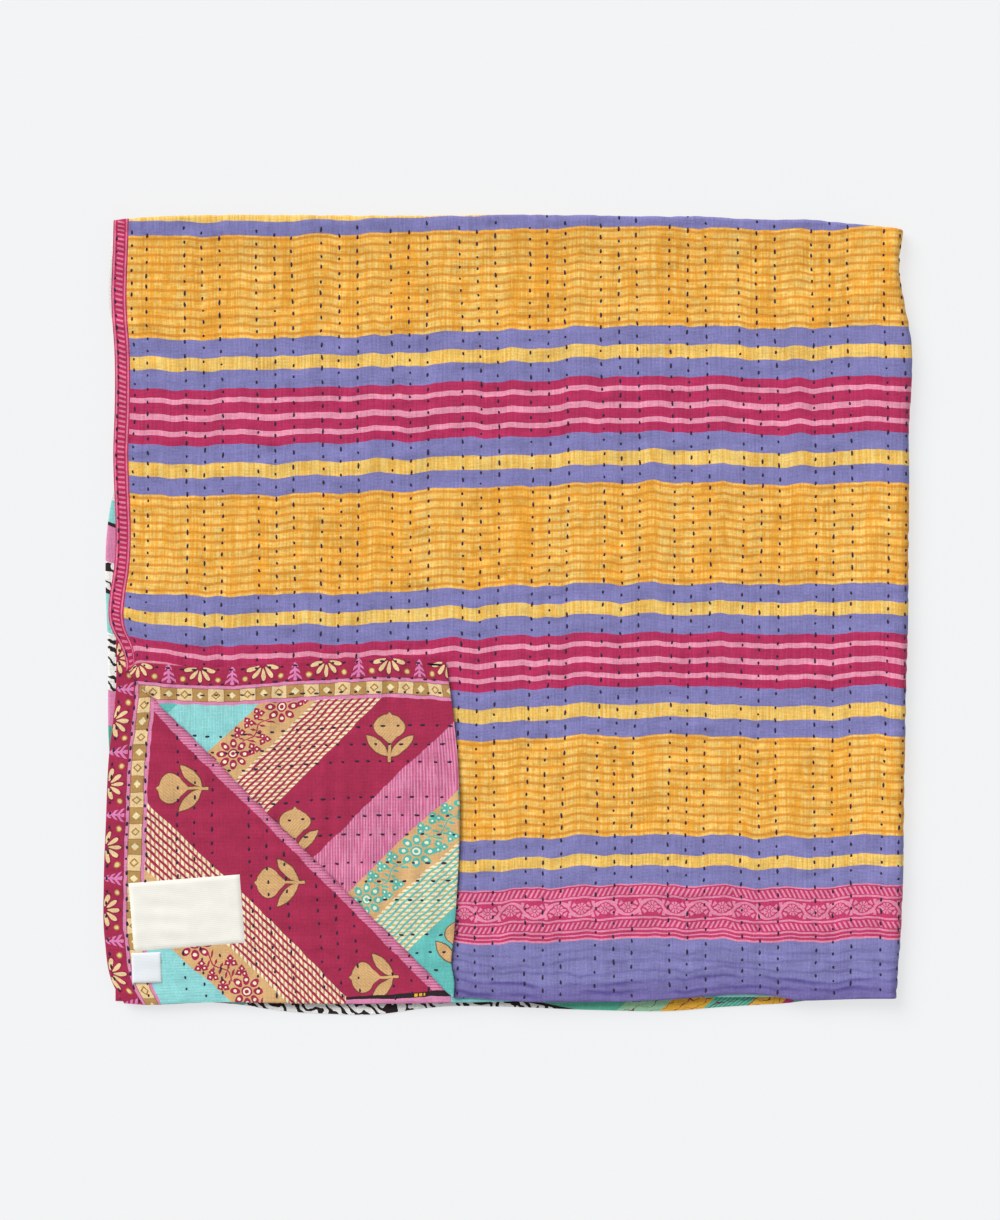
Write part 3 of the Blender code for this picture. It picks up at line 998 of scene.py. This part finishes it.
def bud(add, s, t):
    """A bud on its stem between two leaves, its tip towards s: the mask and its outline."""
    side = add("ABSOLUTE", t)
    up = add("ABSOLUTE", add("DIVIDE", add("SUBTRACT", s, 9.8), 11.4))
    aside = add("DIVIDE", side, 15.0)
    head = add("ADD", add("POWER", up, 2.0), add("POWER", aside, 1.8))
    head = add("SUBTRACT", 1.0, head)
    head = add("MULTIPLY", head, 7.0)
    tip = add("SUBTRACT", add("MULTIPLY", add("SUBTRACT", 23.9, s), 0.9), side)
    tip = add("MINIMUM", tip, add("SUBTRACT", s, 14.0))
    neck = add("SUBTRACT", add("MULTIPLY", add("ADD", s, 8.2), 0.9), side)
    neck = add("MINIMUM", neck, add("SUBTRACT", 4.0, s))
    head = either(add, head, tip, neck)

    # A leaf is a lens from the stem's foot outwards
    lean = math.atan2(20.6, 21.3)
    from_x = add("SUBTRACT", side, 11.4)
    from_s = add("ADD", s, 8.6)
    along = add("ADD", add("MULTIPLY", from_x, math.cos(lean)),
                add("MULTIPLY", from_s, math.sin(lean)))
    across = add("SUBTRACT", add("MULTIPLY", from_s, math.cos(lean)),
                 add("MULTIPLY", from_x, math.sin(lean)))
    reach = add("POWER", add("ABSOLUTE", add("DIVIDE", along, 15.4)), 2.2)
    leaf = add("SUBTRACT", add("SUBTRACT", 1.0, reach),
               add("ABSOLUTE", add("DIVIDE", across, 5.4)))
    leaf = add("MULTIPLY", leaf, 4.0)
    stem = add("SUBTRACT", 1.7, side)
    stem_end = add("SUBTRACT", 9.8, add("ABSOLUTE", add("ADD", s, 15.0)))
    stem = add("MINIMUM", stem, stem_end)
    depth = either(add, head, leaf, stem)
    return add("GREATER_THAN", depth, 0.0), band(add, depth, -0.45, 0.5)


def rosette(add, a, b):
    """An eight-petalled flower 32 mm across: its drawn parts, and its pale dots."""
    r, angle = polar(add, a, b)
    out_from, aside = petals(add, r, angle, 8, 11.0)
    petal_r = distance(add, add("DIVIDE", out_from, 4.9), add("DIVIDE", aside, 3.3))
    petal = add("LESS_THAN", petal_r, 1.0)
    heart = add("LESS_THAN", r, 5.1)
    dot = distance(add, out_from, aside)
    pale = either(add, add("LESS_THAN", dot, 1.7), band(add, r, 1.9, 3.4))
    return either(add, petal, heart), pale


def trefoil(add, a, b):
    """A small three-petalled blossom 12 mm across, and the pale dot of each petal."""
    r, angle = polar(add, a, b)
    out_from, aside = petals(add, r, angle, 3, 3.2, 3 * math.pi / 4)
    aside = add("ABSOLUTE", aside)
    taper = add("ABSOLUTE", add("DIVIDE", out_from, 4.1))
    petal = add("LESS_THAN", add("ADD", taper, add("DIVIDE", aside, 3.6)), 1.0)
    dot = distance(add, out_from, aside)
    return petal, add("LESS_THAN", dot, 0.95)


def sprays(add, a, b):
    """Blossoms on curling stems between two flowers, as block printers fill a band."""
    low_a = centred(add, a, 13.2)
    near_low = add("COMPARE", a, 0.0, 19.8)
    petal_low, dot_low = trefoil(add, low_a, add("ADD", b, 12.0))
    high_a = centred(add, a, 13.8, 2.0)
    near_high = add("COMPARE", add("SUBTRACT", a, 8.9), 0.0, 13.8)
    petal_high, dot_high = trefoil(add, high_a, add("SUBTRACT", b, 10.5))
    petal = either(add, both(add, near_low, petal_low), both(add, near_high, petal_high))
    dot = either(add, both(add, near_low, dot_low), both(add, near_high, dot_high))
    wave = add("MULTIPLY_ADD", add("SINE", add("MULTIPLY", a, 0.24)), 2.4, -1.0)
    stem_away = apart(add, b, wave)
    inside = add("COMPARE", a, 0.0, 17.0)
    stem = both(add, inside, add("LESS_THAN", stem_away, 0.6))
    twig_a = add("ABSOLUTE", centred(add, add("MULTIPLY_ADD", b, 0.5, a), 6.6))
    leaf_width = add("MULTIPLY_ADD", apart(add, stem_away, 3.6), -0.45, 1.5)
    twig = both(add, inside, add("LESS_THAN", twig_a, leaf_width),
                add("LESS_THAN", stem_away, 6.6))
    return either(add, petal, stem, twig), dot


def flower_band(add, colour, t, q, start, width, phase, ink):
    """Print flowers and sprays along a beige band."""
    inside = band(add, t, start, start + width)
    b = add("SUBTRACT", t, start + width / 2)
    drawn, pale = rosette(add, centred(add, q, FLOWER_PITCH, phase), b)
    between = centred(add, q, FLOWER_PITCH, phase + FLOWER_PITCH / 2)
    spray, spray_pale = sprays(add, between, b)
    drawn = either(add, drawn, spray)
    pale = either(add, pale, spray_pale)
    colour = add("MixRGB", both(add, inside, drawn), colour, ink)
    return add("MixRGB", both(add, inside, drawn, pale), colour, CREAM)


# The border along the side hem: its bands, rules and repeats
SIDE_BORDER = (
    (18.5, PRINT_RED), (3.5, ORCHID), (12.5, OCHRE), (3.5, ORCHID), (2.0, PRINT_RED),
)
SIDE_BORDER_WIDTH = 38.0
SIDE_BORDER_RULES = (18.5, 22.0, 34.5)
DAISY_PITCH = 60.0
DAISIES_PAST_FOLD = -27.5
TREES_FROM = 29.5
SQUARE_PITCH = 15.0
SQUARES_FROM = 29.4
SQUARES_PAST_FOLD = -1.9


def edge_border(add, colour, u, v, past_fold):
    """The border along a side hem: half daisies, little trees, dots and a row of squares."""
    along = add("MULTIPLY_ADD", past_fold, DAISIES_PAST_FOLD, v)
    on_border = add("LESS_THAN", u, SIDE_BORDER_WIDTH)
    base = bands(add, u, SIDE_BORDER)

    daisy_a = centred(add, along, DAISY_PITCH)
    r, angle = polar(add, u, daisy_a)
    out_from, aside = petals(add, r, angle, 10, 9.6)
    half_width = add("MULTIPLY_ADD", out_from, 0.12, 1.85)
    petal_r = distance(add, add("DIVIDE", out_from, 6.0), add("DIVIDE", aside, half_width))
    base = add("MixRGB", both(add, band(add, petal_r, 0.9, 1.35), 0.6), base, "#7C1C38")
    base = add("MixRGB", add("LESS_THAN", petal_r, 1.0), base, PALE_GOLD)

    tree_a = add("ABSOLUTE", centred(add, along, DAISY_PITCH, TREES_FROM))
    drooped = add("MULTIPLY_ADD", tree_a, -0.75, u)
    tier = repeat(add, drooped, 4.7, 0.4)
    reach = add("MULTIPLY_ADD", u, 0.27, 2.0)
    branch = both(add, add("LESS_THAN", tier, 2.5), add("LESS_THAN", tree_a, reach))
    branches = both(add, branch, band(add, drooped, 0.4, 12.3))
    trunk = both(add, add("LESS_THAN", tree_a, 1.0), band(add, u, 0.4, 17.2))
    foot = both(add, add("LESS_THAN", tree_a, 1.7), band(add, u, 14.6, 17.4))
    tree = either(add, branches, trunk, foot)
    base = add("MixRGB", tree, base, "#DD84B8")

    dot_a = add("SUBTRACT", tree_a, 13.2)
    dot_r = distance(add, add("SUBTRACT", u, 12.6), dot_a)
    base = add("MixRGB", add("LESS_THAN", dot_r, 2.9), base, "#B9862F")
    base = add("MixRGB", add("LESS_THAN", dot_r, 1.9), base, PALE_GOLD)

    square_u = add("SUBTRACT", u, 28.25)
    squares_at = add("MULTIPLY_ADD", past_fold, SQUARES_PAST_FOLD, SQUARES_FROM)
    from_square = add("SUBTRACT", v, squares_at)
    square_v = centred(add, from_square, SQUARE_PITCH)
    from_dark = add("ABSOLUTE", centred(add, from_square, 2 * SQUARE_PITCH))
    pale_square = add("GREATER_THAN", from_dark, SQUARE_PITCH / 2)
    in_row = band(add, u, *SIDE_BORDER_RULES[1:])
    base = add("MixRGB", both(add, in_row, pale_square), base, PALE_GOLD)
    diamond = add("ADD", add("ABSOLUTE", square_u), add("ABSOLUTE", square_v))
    on_pale = both(add, pale_square, band(add, diamond, 2.6, 4.3))
    on_dark = both(add, add("SUBTRACT", 1.0, pale_square), add("LESS_THAN", diamond, 3.6))
    base = add("MixRGB", on_pale, base, "#A87C3C")
    base = add("MixRGB", on_dark, base, "#F3E2B4")
    rule = add("GREATER_THAN", add("ABSOLUTE", square_v), 7.1)
    base = add("MixRGB", both(add, in_row, rule, 0.55), base, "#6E3B2A")
    for line in SIDE_BORDER_RULES:
        base = add("MixRGB", both(add, band(add, u, line - 0.45, line + 0.45), 0.6), base, "#7C2A3C")
    return add("MixRGB", on_border, colour, base)


WEDGE_FROM = 222.0
WEDGE_TO = 362.0


def far_hem_print(add, colour, u, v):
    """A black wedge with small yellow squares, and an orchid band, along the far hem."""
    from_start = add("SUBTRACT", u, WEDGE_FROM)
    below_top = add("SUBTRACT", v, add("MULTIPLY_ADD", from_start, -0.062, 1489.6))
    below_wedge = add("SUBTRACT", v, add("MULTIPLY_ADD", from_start, -0.028, 1492.2))
    there = band(add, u, WEDGE_FROM, WEDGE_TO)
    wedge = both(add, there, add("GREATER_THAN", below_top, 0.0))
    colour = add("MixRGB", wedge, colour, INK)
    square = both(add, band(add, repeat(add, u, 4.4, 1.2), 0.0, 3.0), band(add, u, 286.0, 297.5),
                  band(add, below_top, 1.0, 3.9))
    colour = add("MixRGB", square, colour, "#E9B32B")
    orchid = both(add, there, add("GREATER_THAN", below_wedge, 0.0))
    colour = add("MixRGB", orchid, colour, ORCHID)
    past_crease = both(add, band(add, u, 322.0, 400.0), add("GREATER_THAN", v, 1480.0))
    return add("MixRGB", past_crease, colour, TURQUOISE)


# Cloths that the back is pieced from, along the pile's lower and left rims
PIECED_FROM = 767.0
LEFT_RIM_AT = 1515.0
SEAM_FROM = 1083.0
SEAM_TO = 1136.0
LEAF_WHITE = "#FFFFFA"
# The lower rim's cloths are painted lighter than their own colours: painted light against the shade
# that the pile casts on that rim
LOWER_RIM = (
    (748.0, TEAL), (93.0, "#6ACDB0"), (19.0, "#6FD2B6"), (15.0, "#D2447A"), (33.0, "#FFC548"),
    (43.0, "#6ED3B8"), (42.0, "#FFC144"), (40.0, "#ABE2B8"),
    (95.0, "#68CBAE"), (263.0, LEAF_WHITE), (125.0, "#7CCBC6"),
)
LEFT_RIM = (
    (60.0, PRINT_RED), (141.0, "#E09A26"), (31.0, "#E09A26"), (26.0, "#48A691"),
    (34.0, ORCHID), (53.0, "#EEF0EA"),
    (40.0, "#8ED6D2"), (30.0, "#EEF0EA"), (32.0, ORCHID), (5.0, INK), (20.0, "#8ED6D2"),
    (400.0, "#DFE6E0"),
)


def patched_prints(add, colour, u, v):
    """The back is pieced from other prints where it ends up under the pile."""
    under = add("GREATER_THAN", u, PIECED_FROM)
    skewed_u = add("MULTIPLY_ADD", v, 1.3, u)
    # Painted light: the lower rim's bands are lighter than the cloths' own colours
    lower = bands(add, skewed_u, LOWER_RIM)
    skewed_v = add("ADD", v, add("MULTIPLY", add("SUBTRACT", LEFT_RIM_AT, u), 0.4))
    left = bands(add, skewed_v, LEFT_RIM)
    by_left = add("GREATER_THAN", add("SUBTRACT", u, v), 1402.0)
    by_left = either(add, by_left, add("GREATER_THAN", v, 190.0))
    patch = add("MixRGB", by_left, lower, left)

    # Leafy black brushwork on the white cloth, and fine dark stripes on the green
    warp_u = grain(add, u, v, 16.0, 16.0, 2.0)
    slanted = add("ADD", add("MULTIPLY", u, 0.75), add("MULTIPLY", v, -1.0))
    waved = add("MULTIPLY_ADD", warp_u, 26.0, slanted)
    stroke = add("SINE", add("MULTIPLY", waved, 2 * math.pi / 11.0))
    swell = grain(add, v, u, 9.0, 14.0, 1.0)
    black = add("GREATER_THAN", add("MULTIPLY_ADD", swell, 1.9, stroke), 1.2)
    off_left = add("SUBTRACT", 1.0, by_left)
    over_seam = add("SUBTRACT", v, add("MULTIPLY", add("SUBTRACT", u, SEAM_FROM), 0.147))
    under_seam = both(add, off_left, band(add, u, SEAM_FROM, SEAM_TO),
                      add("LESS_THAN", over_seam, 0.0))
    patch = add("MixRGB", under_seam, patch, LEAF_WHITE)
    on_white = either(add, both(add, band(add, skewed_u, 1128.0, 1391.0), off_left), under_seam)
    left_white = either(add, band(add, skewed_v, 292.0, 345.0), band(add, skewed_v, 385.0, 415.0))
    on_white = either(add, on_white, both(add, by_left, left_white))
    painted = both(add, on_white, black)
    patch = add("MixRGB", painted, patch, INK)
    stripes = band(add, repeat(add, add("MULTIPLY_ADD", v, 1.6, u), 4.6), 0.0, 1.7)
    on_green = both(add, band(add, skewed_u, 908.0, 951.0), stripes, 0.7)
    patch = add("MixRGB", on_green, patch, "#24785F")
    twig_place = add("MULTIPLY_ADD", warp_u, 60.0, add("MULTIPLY_ADD", v, 3.0, u))
    twig = add("ABSOLUTE", add("SINE", add("DIVIDE", twig_place, 6.0)))
    fine = both(add, band(add, skewed_u, 841.0, 1033.0), add("LESS_THAN", twig, 0.16))
    patch = add("MixRGB", both(add, fine, off_left), patch, "#8C2B50")
    seam = both(add, off_left, band(add, over_seam, -0.9, 1.4), band(add, u, SEAM_FROM - 8.0, SEAM_TO))
    patch = add("MixRGB", seam, patch, INK)
    return add("MixRGB", under, colour, patch)


def printed_cotton():
    """Worn block-printed cotton: chalky, a little faded, the print uneven on its threads."""
    mat, shader, add = start_material("block_printed_cotton", 0.88, 0.1)
    u, v = flat_mm(add)
    blot_u = grain(add, u, v, 14.0, 14.0, 2.0)
    blot_v = grain(add, v, u, 17.0, 17.0, 2.0)
    u_drawn = add("ADD", u, add("MapRange", blot_u, 0.2, 0.8, -0.8, 0.8))
    v_drawn = add("ADD", v, add("MapRange", blot_v, 0.2, 0.8, -0.8, 0.8))
    past_fold = add("GREATER_THAN", v, PRINT_FOLD)
    v_drawn = add("MULTIPLY_ADD", past_fold, 2.4, v_drawn)
    share = math.sqrt(0.5)
    p = add("MULTIPLY", add("SUBTRACT", u_drawn, v_drawn), share)
    p = add("MULTIPLY_ADD", past_fold, SHIFT_PAST_FOLD, p)
    q = add("MULTIPLY", add("ADD", u_drawn, v_drawn), share)
    t = repeat(add, p, PRINT_REPEAT, PRINT_START)
    colour = bands(add, t, PRINT_BANDS)

    # Ribs run across the turquoise and the pink: 2.6 mm apart where the real are 1.9
    rib = add("SINE", add("MULTIPLY", v, 2 * math.pi / 2.6))
    slub = grain(add, u, v, 26.0, 2.0, 2.0)
    pale = add("MapRange", add("MULTIPLY_ADD", rib, 0.16, slub), 0.44, 0.66, 0.0, 1.0)
    on_pink = band(add, t, RIB_BAND[0], TEAL_FLOWERS[0])
    on_turquoise = band(add, t, TURQUOISE_BAND[0], RED_FLOWERS[0])
    groove = add("MapRange", add("MULTIPLY_ADD", rib, -0.3, slub), 0.50, 0.80, 0.0, 0.8)
    colour = add("MixRGB", both(add, on_pink, groove), colour, "#B9477D")
    colour = add("MixRGB", both(add, on_pink, pale, 0.6), colour, "#EBA3C4")
    colour = add("MixRGB", both(add, on_turquoise, pale, 0.55), colour, "#A6E6DE")

    before, after = RED_FLOWERS_FROM
    red_q = add("SUBTRACT", q, add("MULTIPLY_ADD", past_fold, after - before, before))
    colour = flower_band(add, colour, t, red_q, *RED_FLOWERS, 0.0, PRINT_RED)
    colour = flower_band(add, colour, t, q, *TEAL_FLOWERS, TEAL_FLOWERS_FROM, "#58BBAC")

    for place, pale_side in ((RED_ROPES, "#C98B62"), (TEAL_ROPES, "#D5B56F")):
        rope, twist = ropes(add, t, q, *place)
        colour = add("MixRGB", rope, colour, pale_side)
        colour = add("MixRGB", twist, colour, "#F6E9C8")

    before, after = RED_BUDS_FROM
    red_middle = add("MULTIPLY_ADD", past_fold, after - before, before)
    for (start, width), middle in ((RED_BUDS, red_middle), (TEAL_BUDS, TEAL_BUDS_FROM)):
        inside = band(add, t, start, start + width)
        dq = centred(add, q, BUD_PITCH, middle)
        dp = add("SUBTRACT", t, start + width / 2)
        du = add("MULTIPLY", add("ADD", dp, dq), -share)
        dv = add("MULTIPLY", add("SUBTRACT", dq, dp), share)
        drawn, outline = bud(add, du, dv)
        hatch_place = add("ADD", add("MULTIPLY", du, 0.8), dv)
        hatch = band(add, repeat(add, hatch_place, 3.0), 0.0, 0.7)
        colour = add("MixRGB", both(add, inside, drawn), colour, BEIGE)
        colour = add("MixRGB", both(add, inside, drawn, hatch, 0.4), colour, "#A9743A")
        colour = add("MixRGB", both(add, inside, outline, 0.75), colour, "#5A2A22")

    colour = edge_border(add, colour, u_drawn, v_drawn, past_fold)
    colour = far_hem_print(add, colour, u, v_drawn)
    colour = patched_prints(add, colour, u, v)
    finish_cloth(mat, shader, add, colour, u, v, 0.16)
    return mat


def quilting_thread():
    """Plied cotton sewing thread, dyed dark: matt, with a faint twist."""
    mat, shader, add = start_material("dark_cotton_thread", 0.8)
    place = add("TexCoord", out="Object")
    twist = add("TexNoise", Vector=place, Scale=900.0, Detail=2.0)
    colour = add("MixRGB", twist, THREAD, "#3D3350")
    mat.node_tree.links.new(colour, shader.inputs["Base Color"])
    return mat


def label_tape(name, colour, rib):
    """Woven label tape: a fine, dense satin weave with a soft shine along its ribs."""
    mat, shader, add = start_material(name, 0.55, 0.05)
    u, v = flat_mm(add)
    ribs = add("SINE", add("MULTIPLY", v, 2 * math.pi / rib))
    cloud = grain(add, u, v, 18.0, 18.0, 3.0)
    shade = add("MapRange", add("MULTIPLY_ADD", ribs, 0.08, cloud), 0.3, 0.8, 0.955, 1.02)
    tone = add("VectorMath SCALE", linear(colour)[:3], None, None, shade)
    tree = mat.node_tree
    tree.links.new(tone, shader.inputs["Base Color"])
    bump = add("Bump", Strength=0.35, Distance=TAPE_RIB_DEPTH, Height=ribs)
    tree.links.new(bump, shader.inputs["Normal"])
    return mat


# Making


# Label tape: how far its rim curves down, its dimples, and its grid
TAPE_RIM = 1.2 * MM
TAPE_RIM_DROP = 0.75 * MM
TAPE_DIMPLE = 0.22 * MM
TAPE_LINES = (45, 29)


def make_label(name, label, mat, replaced):
    """One thin sewn label on the back, with a slightly rounded rim."""
    width, height = (side * MM for side in label["size"])
    turn = math.radians(label["turn"])
    halves = (width / 2, height / 2)
    bm = flat_grid(*(np.linspace(-half, half, count) for half, count in zip(halves, TAPE_LINES)))
    across, along, _ = flat_places(bm)
    middle_u, middle_v = (place * MM for place in label["middle"])
    u = middle_u + across * math.cos(turn) + along * math.sin(turn)
    v = middle_v - across * math.sin(turn) + along * math.cos(turn)
    top = LABEL_GAP + LABEL_THICKNESS
    inset = np.minimum(width / 2 - np.abs(across), height / 2 - np.abs(along))
    rim = np.exp(-inset / TAPE_RIM)
    dimples = TAPE_DIMPLE * ripples(u, v, 40 * MM, 24 * MM, 31)
    lift = -(THICKNESS / 2 + top + dimples - rim * TAPE_RIM_DROP)
    lift = np.where(inset < 0.01 * MM, -(THICKNESS / 2), lift)
    bmesh.ops.reverse_faces(bm, faces=bm.faces[:])
    tape = to_object(bm, name, mat, *before_wander(u, v), lift)
    keep_flat_places(tape.data, across, along)
    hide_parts(replaced)


# The photograph's middle over the pile, its height, and the top of the pile
PHOTO_X = -6.9 * MM
PHOTO_Y = 4.8 * MM
PHOTO_HEIGHT = 1159 * MM
PILE_TOP = 18 * MM


def make_camera():
    """Straight down, from far enough for the photograph's flat look."""
    data = bpy.data.cameras.new("camera")
    data.sensor_fit = "VERTICAL"
    data.sensor_height = 24
    data.lens = 100
    data.clip_end = 50
    camera = put_in_scene("camera", data)
    camera.location = (PHOTO_X, PHOTO_Y, PILE_TOP + PHOTO_HEIGHT * data.lens / data.sensor_height)
    bpy.context.scene.camera = camera


# Studio light, matched to the photograph's floor and soft shadow
FLOOR_GREY = "#7E7F80"
FLOOR_GLOW = 0.76
WINDOW_STRENGTH = 2.9
WINDOW_SPREAD = math.radians(40)
WINDOW_TILT = math.radians(50)
WINDOW_BEARING = math.radians(222)
ROOM_STRENGTH = 0.42


def make_studio():
    """A pale floor under soft light from the upper left."""
    bm = bmesh.new()
    bmesh.ops.create_grid(bm, x_segments=1, y_segments=1, size=6.0)
    mesh = bpy.data.meshes.new("floor")
    bm.to_mesh(mesh)
    bm.free()
    mat, shader, _ = start_material("lit_paper", 0.9)
    shader.inputs["Base Color"].default_value = linear(FLOOR_GREY)
    shader.inputs["Emission Color"].default_value = linear("#F2F3F4")
    shader.inputs["Emission Strength"].default_value = FLOOR_GLOW
    mesh.materials.append(mat)
    floor = put_in_scene("floor", mesh)

    light = bpy.data.lights.new("window", "SUN")
    light.energy = WINDOW_STRENGTH
    light.angle = WINDOW_SPREAD
    put_in_scene("window", light).rotation_euler = (WINDOW_TILT, 0.0, WINDOW_BEARING)

    scene = bpy.context.scene
    world = bpy.data.worlds.new("studio")
    world.use_nodes = True
    room = world.node_tree.nodes["Background"]
    room.inputs["Color"].default_value = linear("#FFFFFF")
    room.inputs["Strength"].default_value = ROOM_STRENGTH
    scene.world = world
    scene.view_settings.view_transform = "Standard"


make_camera()
make_studio()

across = (WIDTH, FOLD_U, WIDE_ARC, WIDE_FOLD_PARTS)
along = (LENGTH, FOLD_V, SMALL_ARC, SMALL_FOLD_PARTS)
front_across = sheet_lines(*across, FRONT_STEP_ACROSS, FOLD_U)
front_along = sheet_lines(*along, FRONT_STEP_ALONG, FOLD_V)
back_across = sheet_lines(*across, BACK_STEP, BACK_SEEN_TO)
back_along = sheet_lines(*along, BACK_STEP, BACK_SEEN_TO, BACK_SEEN_FROM)

thread = quilting_thread()
make_cloth("striped_cloth", 1, striped_cotton(), front_across, front_along)
make_cloth("printed_cloth", -1, printed_cotton(), back_across, back_along)

# Stitches keep off the hems, and are sewn where either face of the sheet shows
hem = 4 * MM
flap_end = 340 * MM
lower_start = 1150 * MM
front_rows = ROWS[ROWS < FOLD_U + hem]
back_rows = ROWS[ROWS < flap_end]
front_places = stitch_places(front_rows, hem, FOLD_V + 3 * MM, 0.0, 5)
flap_places = stitch_places(back_rows, hem, flap_end, 0.5, 7)
lower_places = stitch_places(back_rows, lower_start, LENGTH - hem, 0.5, 8)
make_stitches("front_stitches", 1, front_places, thread)
make_stitches("back_stitches", -1, np.concatenate((flap_places, lower_places)), thread)

make_label("name_tape", NAME_LABEL, label_tape("cream_satin_tape", "#F4F2E8", 1.8),
           "name_label")
make_label("care_tape", CARE_LABEL, label_tape("white_satin_tape", "#E8EDF1", 1.4),
           "care_label")
